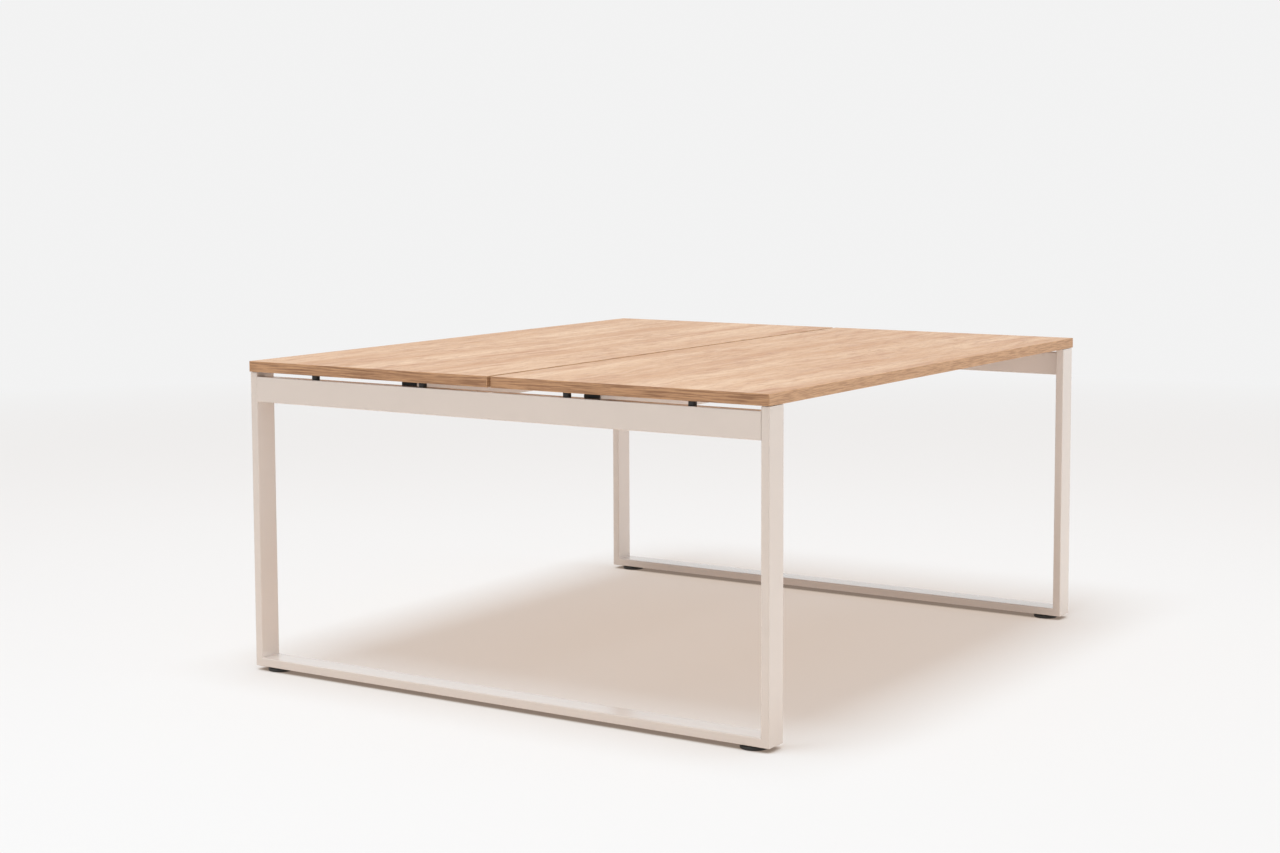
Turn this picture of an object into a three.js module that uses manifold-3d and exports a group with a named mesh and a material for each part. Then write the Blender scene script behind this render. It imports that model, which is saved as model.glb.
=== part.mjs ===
// A benching desk for two: two worktops side by side on a pair of closed steel end frames,
// tied together by two long beams, on four levelling feet.
// Millimetres, with +X along the desk, +Y across it and +Z up. The origin is on the floor, under the middle.
import * as THREE from "three";
import { mergeVertices } from "three/addons/utils/BufferGeometryUtils.js";
import Module from "manifold-3d";

const wasm = await Module();
wasm.setup();

// Worktops: faced board with a band glued to each edge.
const deskLength = 1600;
const deskHeight = 740;
const worktopDepth = 700;
const worktopThickness = 25;
const worktopGap = 10;
const bandThickness = 2;
const bandRounding = 1;

// End frames: legs and floor rails of one flat tube, and a taller tube for the end beam.
const frameEndInset = 2;
const frameSideInset = 1;
const frameTubeWidth = 60;
const frameTubeThickness = 20;
const frameTubeWall = 2;
const frameTubeRounding = 2.5;
const railLift = 10;
const legTopClearance = 1;
const weldGap = 0.3;
const endBeamThickness = 30;
const endBeamHeight = 60;
const endBeamWall = 2;
const endBeamRounding = 3;

// Long beams, the plates welded to their ends, and the bolts that hold the plates to the end beams.
const longBeamWidth = 40;
const longBeamHeight = 60;
const longBeamRise = 7;
const longBeamSpacerClearance = 24;
const longBeamWall = 2;
const longBeamRounding = 3;
const bracketThickness = 5;
const bracketWing = 22;
const bracketWingHeight = 40;
const bracketRounding = 3;
const boltRadius = 3;
const boltHeadRadius = 5.25;
const boltHeadHeight = 3.3;
const boltHeadEdge = 1.1;
const boltHeadTopRadius = 3.7;
const boltSocketRadius = 2;
const boltSocketDepth = 1.6;
const boltLength = 16;

// Spacers between the end beams and the worktops, and the screws through them.
const spacerHeight = 11;
const spacerRadius = 9;
const spacerEdgeDistance = 192;
const screwRadius = 3;
const screwHeadRadius = 6;
const screwHeadHeight = 4;
const screwBite = 16;
const screwTipTaper = 2;
const screwTipClearance = 1;
const accessHoleRadius = 8;
const holeClearance = 0.4;

// Levelling feet: a pad on a threaded stud with a hexagon collar, in an insert in the floor rail.
const footFromSide = 52;
const padRadius = 30;
const padHeight = 8;
const padEdge = 1.5;
const padFloor = 2.5;
const collarRecess = 3;
const collarHeight = 4;
const collarAcrossFlats = 17;
const collarClearance = 1.5;
const studRadius = 5;
const studEndClearance = 1;
const studChamfer = 0.6;
const runningClearance = 0.35;
const insertRadius = 8;
const insertSpigotRadius = 6.8;
const insertHeight = 12;

// Facets of the rounded forms, and small values of the cutting.
const cornerSteps = 2;
const holeSides = 12;
const turnedSides = 24;
const sharpestBoreRounding = 0.5;
const drillOvershoot = 1;
const mergeDistance = 1e-4;

// Levels and places that follow from these sizes.
const deskDepth = 2 * worktopDepth + worktopGap;
const worktopBottom = deskHeight - worktopThickness;
const endBeamTop = worktopBottom - spacerHeight;
const frameOuterX = deskLength / 2 - frameEndInset;
const frameOuterY = deskDepth / 2 - frameSideInset;
const endBeamX = frameOuterX - endBeamThickness / 2;
const endBeamInnerX = frameOuterX - endBeamThickness;
const endBeamLength = 2 * (frameOuterY - frameTubeThickness);
const frameTubeX = frameOuterX - frameTubeWidth / 2;
const worktopMiddleY = (worktopGap + worktopDepth) / 2;
const spacerOffsetY = worktopDepth / 2 - spacerEdgeDistance;
const endBeamZ = endBeamTop - endBeamHeight / 2;
const innerSpacerY = worktopGap / 2 + spacerEdgeDistance;
const longBeamY = innerSpacerY + spacerRadius + longBeamSpacerClearance + longBeamWidth / 2;
const longBeamZ = endBeamTop + longBeamRise - longBeamHeight / 2;
const bracketInnerX = endBeamInnerX - bracketThickness;
const boltOffsetY = (longBeamWidth + bracketWing) / 2;
const footY = frameOuterY - footFromSide;
const railBoreBottom = railLift + frameTubeWall;
const railBoreTop = railLift + frameTubeThickness - frameTubeWall;

const ends = [
  { name: "near", x: -1 },
  { name: "far", x: 1 },
];
const sides = [
  { name: "right", y: -1 },
  { name: "left", y: 1 },
];
const edges = [
  { name: "inner", y: -1 },
  { name: "outer", y: 1 },
];

const oakFace = new THREE.MeshStandardMaterial({ color: 0xe3bf9c, roughness: 0.55, metalness: 0 });
const oakBand = new THREE.MeshStandardMaterial({ color: 0xc89f78, roughness: 0.55, metalness: 0 });
const creamPaint = new THREE.MeshStandardMaterial({ color: 0xe6dad0, roughness: 0.5, metalness: 0.1 });
const blackPaint = new THREE.MeshStandardMaterial({ color: 0x1b1917, roughness: 0.5, metalness: 0.3 });
const blackPlastic = new THREE.MeshStandardMaterial({ color: 0x1e1c1a, roughness: 0.6, metalness: 0 });
const zincSteel = new THREE.MeshStandardMaterial({ color: 0xb4b0a6, roughness: 0.35, metalness: 0.9 });

const desk = new THREE.Group();

function add(name, geometry, material, x, y, z) {
  const mesh = new THREE.Mesh(geometry, material);
  mesh.name = name;
  mesh.position.set(x, y, z);
  desk.add(mesh);
}

function toSolid(geometry) {
  const bare = geometry.clone();
  bare.deleteAttribute("normal");
  bare.deleteAttribute("uv");
  const merged = mergeVertices(bare, mergeDistance);
  const vertProperties = merged.getAttribute("position").array;
  const triVerts = new Uint32Array(merged.index.array);
  return new wasm.Manifold(new wasm.Mesh({ numProp: 3, vertProperties, triVerts }));
}

function toGeometry(solid) {
  const mesh = solid.getMesh();
  const geometry = new THREE.BufferGeometry();
  geometry.setAttribute("position", new THREE.BufferAttribute(mesh.vertProperties, 3));
  geometry.setIndex(new THREE.BufferAttribute(mesh.triVerts, 1));
  geometry.computeVertexNormals();
  return geometry;
}

// Cuts upright round holes, each given by its centre, radius and the levels that it runs between.
function drill(geometry, holes) {
  let solid = toSolid(geometry);
  for (const { x, y, radius, bottom, top } of holes) {
    const bit = new THREE.CylinderGeometry(radius, radius, top - bottom, holeSides);
    bit.rotateX(Math.PI / 2);
    bit.translate(x, y, (top + bottom) / 2);
    solid = solid.subtract(toSolid(bit));
  }
  return toGeometry(solid);
}

// Draws a rectangle with rounded corners, centred on the origin, into a shape or a hole's path.
function roundedRectangle(path, width, height, rounding) {
  const x = width / 2 - rounding;
  const y = height / 2 - rounding;
  path.moveTo(x + rounding, -y);
  path.absarc(x, y, rounding, 0, Math.PI / 2);
  path.absarc(-x, y, rounding, Math.PI / 2, Math.PI);
  path.absarc(-x, -y, rounding, Math.PI, 1.5 * Math.PI);
  path.absarc(x, -y, rounding, 1.5 * Math.PI, 2 * Math.PI);
  path.closePath();
  return path;
}

function extrude(shape, length) {
  const geometry = new THREE.ExtrudeGeometry(shape, {
    depth: length,
    bevelEnabled: false,
    curveSegments: cornerSteps,
  });
  return geometry.translate(0, 0, -length / 2);
}

// A rectangular tube along Z, open at both ends.
function tube(width, thickness, wall, rounding, length) {
  const section = roundedRectangle(new THREE.Shape(), width, thickness, rounding);
  const boreRounding = Math.max(rounding - wall, sharpestBoreRounding);
  const bore = roundedRectangle(new THREE.Path(), width - 2 * wall, thickness - 2 * wall, boreRounding);
  section.holes.push(bore);
  return extrude(section, length);
}

// Cuts one end of a tube along Z at 45 degrees. The tube stays longest on its outer face,
// and the cut stands back by half the weld's width.
function mitre(geometry, end, outer, thickness, length) {
  const weldSetback = (weldGap / 2) * Math.SQRT2;
  const place = geometry.getAttribute("position");
  for (let i = 0; i < place.count; i++) {
    if (place.getZ(i) * end < 0) continue;
    const fromOuterFace = thickness / 2 - outer * place.getY(i);
    place.setZ(i, end * (length / 2 - fromOuterFace - weldSetback));
  }
  geometry.computeVertexNormals();
}

// Turns a profile of [radius, height] points about the Z axis.
function turned(profile, sideCount) {
  const points = profile.map(([radius, height]) => new THREE.Vector2(radius, height));
  return new THREE.LatheGeometry(points, sideCount).rotateX(Math.PI / 2);
}

// The screw holes of one end beam or one worktop end sit under the spacers.
function spacerPlaces() {
  return sides.flatMap((side) =>
    edges.map((edge) => ({
      side: side.name,
      edge: edge.name,
      y: side.y * (worktopMiddleY + edge.y * spacerOffsetY),
    })),
  );
}

// Worktop board, drilled from below for its screws.
function worktopBoard() {
  const length = deskLength - 2 * bandThickness;
  const depth = worktopDepth - 2 * bandThickness;
  const holes = ends.flatMap((end) =>
    edges.map((edge) => ({
      x: end.x * endBeamX,
      y: edge.y * spacerOffsetY,
      radius: screwRadius + holeClearance,
      bottom: -worktopThickness / 2 - drillOvershoot,
      top: -worktopThickness / 2 + screwBite + screwTipClearance,
    })),
  );
  return drill(new THREE.BoxGeometry(length, depth, worktopThickness), holes);
}

// Edge band along X with its outer face towards +Y and both outer edges eased.
function edgeBand(length) {
  const halfHeight = worktopThickness / 2;
  const flat = halfHeight - bandRounding;
  const shape = new THREE.Shape();
  shape.moveTo(-halfHeight, 0);
  shape.lineTo(halfHeight, 0);
  shape.lineTo(halfHeight, bandThickness - bandRounding);
  shape.absarc(flat, bandThickness - bandRounding, bandRounding, 0, Math.PI / 2);
  shape.absarc(-flat, bandThickness - bandRounding, bandRounding, Math.PI / 2, Math.PI);
  shape.closePath();
  return extrude(shape, length).rotateY(Math.PI / 2);
}

for (const side of sides) {
  const y = side.y * worktopMiddleY;
  const z = worktopBottom + worktopThickness / 2;
  add(`worktop_${side.name}`, worktopBoard(), oakFace, 0, y, z);
  for (const edge of edges) {
    const outward = side.y * edge.y;
    const band = edgeBand(deskLength);
    if (outward < 0) band.rotateZ(Math.PI);
    const bandY = y + outward * (worktopDepth / 2 - bandThickness);
    add(`edge_band_${side.name}_${edge.name}`, band, oakBand, 0, bandY, z);
  }
  for (const end of ends) {
    const band = edgeBand(worktopDepth - 2 * bandThickness).rotateZ((-end.x * Math.PI) / 2);
    const bandX = end.x * (deskLength / 2 - bandThickness);
    add(`edge_band_${side.name}_${end.name}`, band, oakBand, bandX, y, z);
  }
}

// Leg, mitred at the foot where it meets the floor rail.
function leg(outer) {
  const length = worktopBottom - legTopClearance - railLift;
  const geometry = tube(frameTubeWidth, frameTubeThickness, frameTubeWall, frameTubeRounding, length);
  mitre(geometry, -1, outer, frameTubeThickness, length);
  return geometry.translate(0, 0, length / 2);
}

// Floor rail, mitred at both ends and drilled below for the two foot inserts.
function floorRail() {
  const length = 2 * frameOuterY;
  const geometry = tube(frameTubeWidth, frameTubeThickness, frameTubeWall, frameTubeRounding, length);
  mitre(geometry, -1, -1, frameTubeThickness, length);
  mitre(geometry, 1, -1, frameTubeThickness, length);
  geometry.rotateX(Math.PI / 2);
  const holes = sides.map((side) => ({
    x: 0,
    y: side.y * footY,
    radius: insertSpigotRadius + holeClearance,
    bottom: -frameTubeThickness / 2 - drillOvershoot,
    top: -frameTubeThickness / 2 + frameTubeWall + drillOvershoot,
  }));
  return drill(geometry, holes);
}

// The bracket bolts go in beside each long beam.
function boltPlaces() {
  return sides.flatMap((side) =>
    edges.map((edge) => ({
      side: side.name,
      edge: edge.name,
      y: side.y * (longBeamY + edge.y * boltOffsetY),
    })),
  );
}

// End beam: its top wall takes the worktop screws, and wider holes below let a driver reach them.
// The wall away from `outward` takes the bracket bolts, and is drilled with the beam laid on its side.
function endBeam(outward) {
  const geometry = tube(endBeamThickness, endBeamHeight, endBeamWall, endBeamRounding, endBeamLength);
  geometry.rotateX(Math.PI / 2);
  const half = endBeamHeight / 2;
  const throughTop = { bottom: half - endBeamWall - drillOvershoot, top: half + drillOvershoot };
  const throughBottom = { bottom: -half - drillOvershoot, top: -half + endBeamWall + drillOvershoot };
  const screwHoles = spacerPlaces().flatMap(({ y }) => [
    { x: 0, y, radius: screwRadius + holeClearance, ...throughTop },
    { x: 0, y, radius: accessHoleRadius, ...throughBottom },
  ]);
  const boltHoles = boltPlaces().map(({ y }) => ({
    x: 0,
    y,
    radius: boltRadius + holeClearance,
    bottom: endBeamThickness / 2 - endBeamWall - drillOvershoot,
    top: endBeamThickness / 2 + drillOvershoot,
  }));
  const onItsSide = (outward * Math.PI) / 2;
  return drill(drill(geometry, screwHoles).rotateY(onItsSide), boltHoles).rotateY(-onItsSide);
}

for (const end of ends) {
  const tubeX = end.x * frameTubeX;
  for (const side of sides) {
    const legY = side.y * (frameOuterY - frameTubeThickness / 2);
    add(`leg_${end.name}_${side.name}`, leg(side.y), creamPaint, tubeX, legY, railLift);
  }
  const railZ = railLift + frameTubeThickness / 2;
  add(`floor_rail_${end.name}`, floorRail(), creamPaint, tubeX, 0, railZ);
  add(`end_beam_${end.name}`, endBeam(end.x), creamPaint, end.x * endBeamX, 0, endBeamZ);
}

// Long beam between the end plates, which are welded to it.
function longBeam() {
  const length = 2 * (bracketInnerX - weldGap);
  const geometry = tube(longBeamHeight, longBeamWidth, longBeamWall, longBeamRounding, length);
  return geometry.rotateY(Math.PI / 2);
}

// Bracket plate: it closes the end of the long beam, and its wings reach past the beam for the bolts.
// It is drawn on its back, with its height along X and the long beam's middle at the origin, then stood up.
function bracketPlate() {
  const wingWidth = longBeamWidth + 2 * bracketWing;
  const wingX = endBeamZ - longBeamZ;
  const cover = roundedRectangle(new THREE.Shape(), longBeamHeight, longBeamWidth, bracketRounding);
  const wings = roundedRectangle(new THREE.Shape(), bracketWingHeight, wingWidth, bracketRounding);
  const coverSolid = toSolid(extrude(cover, bracketThickness));
  const wingSolid = toSolid(extrude(wings, bracketThickness).translate(wingX, 0, 0));
  const holes = edges.map((edge) => ({
    x: wingX,
    y: edge.y * boltOffsetY,
    radius: boltRadius + holeClearance,
    bottom: -bracketThickness / 2 - drillOvershoot,
    top: bracketThickness / 2 + drillOvershoot,
  }));
  return drill(toGeometry(coverSolid.add(wingSolid)), holes).rotateY(-Math.PI / 2);
}

// Button-head bolt with a round socket, its head's seat at z = 0.
function bracketBolt() {
  const socketFloor = boltHeadHeight - boltSocketDepth;
  return turned(
    [
      [0, -boltLength],
      [boltRadius, -boltLength],
      [boltRadius, 0],
      [boltHeadRadius, 0],
      [boltHeadRadius, boltHeadEdge],
      [boltHeadTopRadius, boltHeadHeight],
      [boltSocketRadius, boltHeadHeight],
      [boltSocketRadius, socketFloor],
      [0, socketFloor],
    ],
    holeSides,
  );
}

for (const side of sides) {
  const y = side.y * longBeamY;
  add(`long_beam_${side.name}`, longBeam(), creamPaint, 0, y, longBeamZ);
  for (const end of ends) {
    const plateX = end.x * (bracketInnerX + bracketThickness / 2);
    add(`bracket_${end.name}_${side.name}`, bracketPlate(), blackPaint, plateX, y, longBeamZ);
  }
}
for (const end of ends) {
  for (const { side, edge, y } of boltPlaces()) {
    const bolt = bracketBolt().rotateY((-end.x * Math.PI) / 2);
    add(`bracket_bolt_${end.name}_${side}_${edge}`, bolt, zincSteel, end.x * bracketInnerX, y, endBeamZ);
  }
}

// Spacer sleeve, standing on the end beam.
function spacer() {
  const bore = screwRadius + holeClearance;
  return turned(
    [
      [bore, 0],
      [spacerRadius, 0],
      [spacerRadius, spacerHeight],
      [bore, spacerHeight],
      [bore, 0],
    ],
    turnedSides,
  );
}

// Worktop screw. Its head bears up against the end beam's top wall, at z = 0, from inside the beam.
function worktopScrew() {
  const tip = endBeamWall + spacerHeight + screwBite;
  return turned(
    [
      [0, -screwHeadHeight],
      [screwHeadRadius, -screwHeadHeight],
      [screwHeadRadius, 0],
      [screwRadius, 0],
      [screwRadius, tip - screwTipTaper],
      [0, tip],
    ],
    holeSides,
  );
}

for (const end of ends) {
  const x = end.x * endBeamX;
  for (const { side, edge, y } of spacerPlaces()) {
    const place = `${end.name}_${side}_${edge}`;
    add(`spacer_${place}`, spacer(), blackPlastic, x, y, endBeamTop);
    add(`worktop_screw_${place}`, worktopScrew(), zincSteel, x, y, endBeamTop - endBeamWall);
  }
}

// Foot pad, standing on the floor, with a recess above for the stud's collar and end.
function footPad() {
  const recess = collarAcrossFlats / Math.sqrt(3) + collarClearance;
  const recessFloor = padHeight - collarRecess;
  const socket = studRadius + runningClearance;
  return turned(
    [
      [0, 0],
      [padRadius - padEdge, 0],
      [padRadius, padEdge],
      [padRadius, padHeight - 2 * padEdge],
      [padRadius - padEdge, padHeight - padEdge / 2],
      [padRadius - 2 * padEdge, padHeight],
      [recess, padHeight],
      [recess, recessFloor],
      [socket, recessFloor],
      [socket, padFloor],
      [0, padFloor],
    ],
    turnedSides,
  );
}

// Threaded stud with its hexagon collar, in the floor's own levels.
function footStud() {
  const foot = padFloor + runningClearance;
  const tip = railBoreTop - studEndClearance;
  const shank = turned(
    [
      [0, foot],
      [studRadius - studChamfer, foot],
      [studRadius, foot + studChamfer],
      [studRadius, tip - studChamfer],
      [studRadius - studChamfer, tip],
      [0, tip],
    ],
    holeSides,
  );
  const cornerRadius = collarAcrossFlats / Math.sqrt(3);
  const collarBottom = padHeight - collarRecess + runningClearance;
  const collar = new THREE.CylinderGeometry(cornerRadius, cornerRadius, collarHeight, 6);
  collar.rotateX(Math.PI / 2);
  collar.translate(0, 0, collarBottom + collarHeight / 2);
  return toGeometry(toSolid(shank).add(toSolid(collar)));
}

// Threaded insert: its spigot sits in the rail's lower wall and its body stands inside the tube.
function footInsert() {
  const bore = studRadius + runningClearance;
  const spigotBottom = railLift + runningClearance;
  return turned(
    [
      [bore, spigotBottom],
      [insertSpigotRadius, spigotBottom],
      [insertSpigotRadius, railBoreBottom],
      [insertRadius, railBoreBottom],
      [insertRadius, railBoreBottom + insertHeight],
      [bore, railBoreBottom + insertHeight],
      [bore, spigotBottom],
    ],
    holeSides,
  );
}

for (const end of ends) {
  for (const side of sides) {
    const place = `${end.name}_${side.name}`;
    const x = end.x * frameTubeX;
    const y = side.y * footY;
    add(`foot_pad_${place}`, footPad(), blackPlastic, x, y, 0);
    add(`foot_stud_${place}`, footStud(), zincSteel, x, y, 0);
    add(`foot_insert_${place}`, footInsert(), zincSteel, x, y, 0);
  }
}

export default desk;
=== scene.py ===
import math

import bmesh
import bpy
from mathutils import Matrix, Vector


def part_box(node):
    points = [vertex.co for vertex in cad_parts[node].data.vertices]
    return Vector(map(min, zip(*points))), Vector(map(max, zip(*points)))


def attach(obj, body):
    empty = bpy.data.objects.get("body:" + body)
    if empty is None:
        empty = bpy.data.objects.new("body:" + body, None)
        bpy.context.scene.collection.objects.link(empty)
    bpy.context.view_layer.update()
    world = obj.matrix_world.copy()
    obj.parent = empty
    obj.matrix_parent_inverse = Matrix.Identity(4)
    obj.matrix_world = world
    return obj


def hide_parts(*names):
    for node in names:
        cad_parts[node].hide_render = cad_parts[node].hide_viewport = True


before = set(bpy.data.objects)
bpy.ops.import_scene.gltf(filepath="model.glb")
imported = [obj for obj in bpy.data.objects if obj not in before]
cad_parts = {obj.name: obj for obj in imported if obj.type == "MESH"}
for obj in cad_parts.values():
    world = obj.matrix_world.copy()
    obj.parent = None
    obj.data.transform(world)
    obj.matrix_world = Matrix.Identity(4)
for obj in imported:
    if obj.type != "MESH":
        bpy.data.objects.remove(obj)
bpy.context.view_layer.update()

# Foot pads
# Moulded black plastic discs with a soft shoulder, lying flat on the floor.
# The recess on top takes the stud's collar, and the grooves below keep the pad from slipping.
mm = 0.001
frame_ends = (("near", -1), ("far", 1))
desk_sides = (("right", -1), ("left", 1))
corners = [f"{end}_{side}" for end, _ in frame_ends for side, _ in desk_sides]
pad_sides = 48
pad_edge = 1.5 * mm
pad_edge_steps = 5
pad_shoulder = 3 * mm
pad_shoulder_steps = 7
pad_floor = 2.5 * mm
pad_recess_radius = 11.3 * mm
pad_recess_depth = 3 * mm
pad_recess_rounding = 0.5 * mm
pad_recess_steps = 3
pad_socket_radius = 5.35 * mm
pad_hollow_radius = 8 * mm
pad_groove_radius = 17 * mm
pad_groove_width = 2 * mm
pad_groove_depth = 0.6 * mm
pad_groove_slope = 0.3 * mm
crease_angle = math.radians(35)
plastic_dark = (0.010, 0.009, 0.008, 1)
plastic_bloomed = (0.022, 0.020, 0.018, 1)
plastic_roughness = (0.42, 0.6)
plastic_bloom_per_metre = (90, 90, 90)
plastic_grain_per_metre = (2200, 2200, 2200)
plastic_grain_depth = 0.05 * mm


def arc(across, up, radius, start, end, steps):
    """Points of an arc about (across, up), from one angle in degrees to another."""
    points = []
    for step in range(steps + 1):
        angle = math.radians(start + (end - start) * step / steps)
        points.append((across + radius * math.cos(angle), up + radius * math.sin(angle)))
    return points


def ring(centre, radius, level, sides):
    """Points round an upright axis. The radius is a length, or a length worked out from the angle."""
    if radius == 0:
        return [(centre.x, centre.y, level)]
    points = []
    for step in range(sides):
        angle = 2 * math.pi * step / sides
        reach = radius(angle) if callable(radius) else radius
        points.append((centre.x + reach * math.cos(angle), centre.y + reach * math.sin(angle), level))
    return points


def turned(centre, profile, sides):
    """Rings of a turned piece whose profile is a list of radius and level."""
    return [ring(centre, radius, level, sides) for radius, level in profile]


def loft(rings, closed=False):
    """Vertices and faces of a skin over rings of points. A ring of one point is a pole."""
    vertices = []
    numbers = []
    for points in rings:
        numbers.append(range(len(vertices), len(vertices) + len(points)))
        vertices.extend(points)
    faces = []
    neighbours = list(zip(numbers, numbers[1:]))
    if closed:
        neighbours.append((numbers[-1], numbers[0]))
    for low, high in neighbours:
        sides = max(len(low), len(high))
        for step in range(sides):
            after = (step + 1) % sides
            lower = [low[step], low[after]] if len(low) > 1 else [low[0]]
            upper = [high[after], high[step]] if len(high) > 1 else [high[0]]
            faces.append(lower + upper)
    if not closed:
        faces.extend(list(end) for end in (numbers[0], numbers[-1]) if len(end) > 1)
    return vertices, faces


def mesh_object(name, skin):
    """A linked object whose faces all point outwards."""
    mesh = bpy.data.meshes.new(name)
    mesh.from_pydata(skin[0], [], skin[1])
    shell = bmesh.new()
    shell.from_mesh(mesh)
    bmesh.ops.recalc_face_normals(shell, faces=shell.faces)
    shell.to_mesh(mesh)
    shell.free()
    made = bpy.data.objects.new(name, mesh)
    bpy.context.scene.collection.objects.link(made)
    return made


def dress(piece, material, body, nodes):
    """Smooths and finishes a piece, which rides on a body and stands for the nodes that it replaces."""
    piece.data.shade_smooth()
    piece.data.set_sharp_from_angle(angle=crease_angle)
    piece.data.materials.clear()
    piece.data.materials.append(material)
    shading = piece.modifiers.new("flat_faces_stay_flat", "WEIGHTED_NORMAL")
    shading.keep_sharp = True
    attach(piece, body)
    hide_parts(*nodes)


def add_node(material, kind, inputs, **settings):
    """A shader node with its settings, and with each input set to a value or wired to an output."""
    node = material.node_tree.nodes.new(kind)
    for setting, value in settings.items():
        setattr(node, setting, value)
    for name, value in inputs.items():
        if isinstance(value, bpy.types.NodeSocket):
            material.node_tree.links.new(value, node.inputs[name])
        else:
            node.inputs[name].default_value = value
    return node


def new_material(name):
    """A material, its surface shader and the coordinates of the piece in metres."""
    material = bpy.data.materials.new(name)
    material.use_nodes = True
    shader = material.node_tree.nodes["Principled BSDF"]
    place = add_node(material, "ShaderNodeTexCoord", {}).outputs["Object"]
    return material, shader, place


def noise(material, place, per_metre, octaves, crispness=0.5):
    """Noise with so many grains per metre along X, Y and Z."""
    scaled = add_node(material, "ShaderNodeVectorMath", {0: place, 1: per_metre}, operation="MULTIPLY")
    inputs = {"Vector": scaled.outputs[0], "Scale": 1.0, "Detail": octaves, "Roughness": crispness}
    return add_node(material, "ShaderNodeTexNoise", inputs).outputs["Fac"]


def between(material, amount, low, high, start=0.3, end=0.7):
    """A value that goes from low to high while the amount goes from start to end."""
    inputs = {"Value": amount, "From Min": start, "From Max": end, "To Min": low, "To Max": high}
    return add_node(material, "ShaderNodeMapRange", inputs).outputs["Result"]


def mixed(material, amount, first, second):
    """A colour between two colours. The node's colours go in at sockets 6 and 7, and come out at 2."""
    inputs = {"Factor": amount, 6: first, 7: second}
    return add_node(material, "ShaderNodeMix", inputs, data_type="RGBA").outputs[2]


def bumped(material, height, depth, strength):
    """A normal that follows a height, given in depths."""
    inputs = {"Height": height, "Distance": depth, "Strength": strength}
    return add_node(material, "ShaderNodeBump", inputs).outputs["Normal"]


def finish_with(material, shader, colour, roughness, normal):
    """Wires the three looks of a surface to its shader."""
    wire = material.node_tree.links.new
    wire(colour, shader.inputs["Base Color"])
    wire(roughness, shader.inputs["Roughness"])
    wire(normal, shader.inputs["Normal"])


def moulded_plastic():
    """Black plastic with a fine spark-eroded grain and a faint bloom."""
    material, shader, place = new_material("moulded_black_plastic")
    bloom = noise(material, place, plastic_bloom_per_metre, octaves=3.0)
    grain = noise(material, place, plastic_grain_per_metre, octaves=2.0)
    colour = mixed(material, bloom, plastic_dark, plastic_bloomed)
    roughness = between(material, bloom, *plastic_roughness)
    normal = bumped(material, grain, plastic_grain_depth, strength=0.6)
    finish_with(material, shader, colour, roughness, normal)
    return material


def pad_profile(radius, bottom, top):
    """Half section of a pad, from the middle of its underside round to the middle of its socket."""
    groove_end = pad_groove_radius + pad_groove_width
    recess_edge = pad_recess_radius + pad_recess_rounding
    profile = [
        (0, bottom + pad_groove_depth),
        (pad_hollow_radius, bottom + pad_groove_depth),
        (pad_hollow_radius + pad_groove_slope, bottom),
        (pad_groove_radius, bottom),
        (pad_groove_radius + pad_groove_slope, bottom + pad_groove_depth),
        (groove_end - pad_groove_slope, bottom + pad_groove_depth),
        (groove_end, bottom),
    ]
    profile += arc(radius - pad_edge, bottom + pad_edge, pad_edge, -90, 0, pad_edge_steps)
    profile += arc(radius - pad_shoulder, top - pad_shoulder, pad_shoulder, 0, 90, pad_shoulder_steps)
    profile += arc(recess_edge, top - pad_recess_rounding, pad_recess_rounding, 90, 180, pad_recess_steps)
    profile += [
        (pad_recess_radius, top - pad_recess_depth),
        (pad_socket_radius, top - pad_recess_depth),
        (pad_socket_radius, bottom + pad_floor),
        (0, bottom + pad_floor),
    ]
    return profile


black_plastic = moulded_plastic()
for corner in corners:
    low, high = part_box(f"foot_pad_{corner}")
    profile = pad_profile((high.x - low.x) / 2, low.z, high.z)
    pad = mesh_object(f"moulded_pad_{corner}", loft(turned((low + high) / 2, profile, pad_sides)))
    dress(pad, black_plastic, f"pad_{corner}", [f"foot_pad_{corner}"])

# Foot studs
# Zinc-plated steel with a rolled M10 thread and a hexagon collar for a spanner.
# The plain end turns in the pad, and the thread screws into the insert in the floor rail.
stud_sides = 36
stud_radius = 5 * mm
stud_chamfer = 0.6 * mm
stud_pitch = 1.5 * mm
stud_thread_depth = 0.9 * mm
thread_steps = 6
thread_taper = 1.2 * mm
collar_level = 5.35 * mm
collar_height = 4 * mm
collar_across_flats = 17 * mm
collar_chamfer = 0.8 * mm
collar_chamfer_radius = 8.9 * mm
zinc_yellowed = (0.60, 0.58, 0.53, 1)
zinc_bright = (0.72, 0.71, 0.68, 1)
zinc_roughness = (0.26, 0.44)
zinc_cloud_per_metre = (160, 160, 160)
zinc_streak_per_metre = (1500, 1500, 220)
zinc_streak_depth = 0.02 * mm


def zinc_plate():
    """Bright zinc on steel: fine drawn streaks, cloudy patches and a faintly yellow passivation."""
    material, shader, place = new_material("zinc_plated_steel")
    cloud = noise(material, place, zinc_cloud_per_metre, octaves=4.0)
    streak = noise(material, place, zinc_streak_per_metre, octaves=3.0)
    colour = mixed(material, cloud, zinc_yellowed, zinc_bright)
    roughness = between(material, streak, *zinc_roughness)
    normal = bumped(material, streak, zinc_streak_depth, strength=0.4)
    shader.inputs["Metallic"].default_value = 1.0
    finish_with(material, shader, colour, roughness, normal)
    return material


def hexagon(across_flats, widest):
    """The reach of a hexagon with its corners trimmed to a circle, for each angle."""
    sixth = math.pi / 3

    def reach(angle):
        from_flat = (angle + sixth / 2) % sixth - sixth / 2
        return min(across_flats / 2 / math.cos(from_flat), widest)

    return reach


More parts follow.
